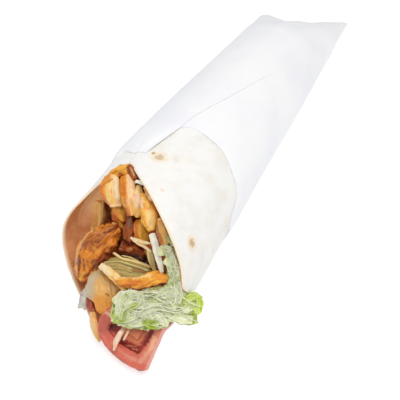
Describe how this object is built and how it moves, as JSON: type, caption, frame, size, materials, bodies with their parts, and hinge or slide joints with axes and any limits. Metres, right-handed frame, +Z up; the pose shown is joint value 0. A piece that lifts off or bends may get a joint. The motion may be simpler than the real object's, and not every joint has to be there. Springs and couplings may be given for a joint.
{
  "type": "kebab wrap",
  "caption": "Flatbread rolled round grilled chicken, onion, lettuce and tomato, open at one slanted end, the other end in white paper pressed shut.",
  "frame": {"origin": "on the surface the wrap lies on, under the middle of its bounding box", "axes": "+Y from the open mouth to the pressed paper tail, +Z up, +X to the right seen from the mouth"},
  "size_m": [0.0682, 0.2446, 0.0602],
  "materials": {
    "paper": "thin white food paper, matt, softly creased",
    "bread": "soft pale flatbread with a few toasted spots, sauce-stained inside",
    "core": "dark moist meat and sauce",
    "chicken": "spiced grilled chicken, pale inside, moist",
    "charred": "grilled brown meat with char marks, moist",
    "onion": "soft pale onion, slightly see-through",
    "tomato": "wet cut tomato with darker seeds",
    "lettuce": "pale green shredded lettuce, yellow-green at its tips"
  },
  "bodies": {
    "root": {"paper_wrapper": "paper", "flatbread": "bread", "filling_core": "core", "onion_shred_lower_1": "onion", "onion_shred_lower_2": "onion", "onion_shred_upper_1": "onion", "onion_shred_upper_2": "onion", "onion_shred_upper_3": "onion", "cabbage_strip": "lettuce", "chicken_strip_right": "chicken", "chicken_strip_left": "chicken", "chicken_strip_middle": "chicken", "chicken_strip_thin": "chicken", "chicken_bend_upper": "chicken", "chicken_bend_lower": "chicken", "grilled_chunk": "charred", "tomato_slice": "tomato", "tomato_bit": "tomato", "cream_strip": "onion", "onion_tip": "onion", "tan_strip": "chicken", "chicken_piece_inner": "chicken", "chicken_piece_slant": "chicken", "chicken_piece_centre": "chicken", "chicken_piece_flap": "chicken", "chicken_bit": "chicken", "pale_shred": "onion", "chicken_top_left": "chicken", "chicken_top_right": "chicken", "glazed_piece": "charred", "soft_onion": "onion", "cabbage_leaf": "lettuce", "dark_piece": "charred", "lettuce_heap": "lettuce"}
  },
  "joints": []
}
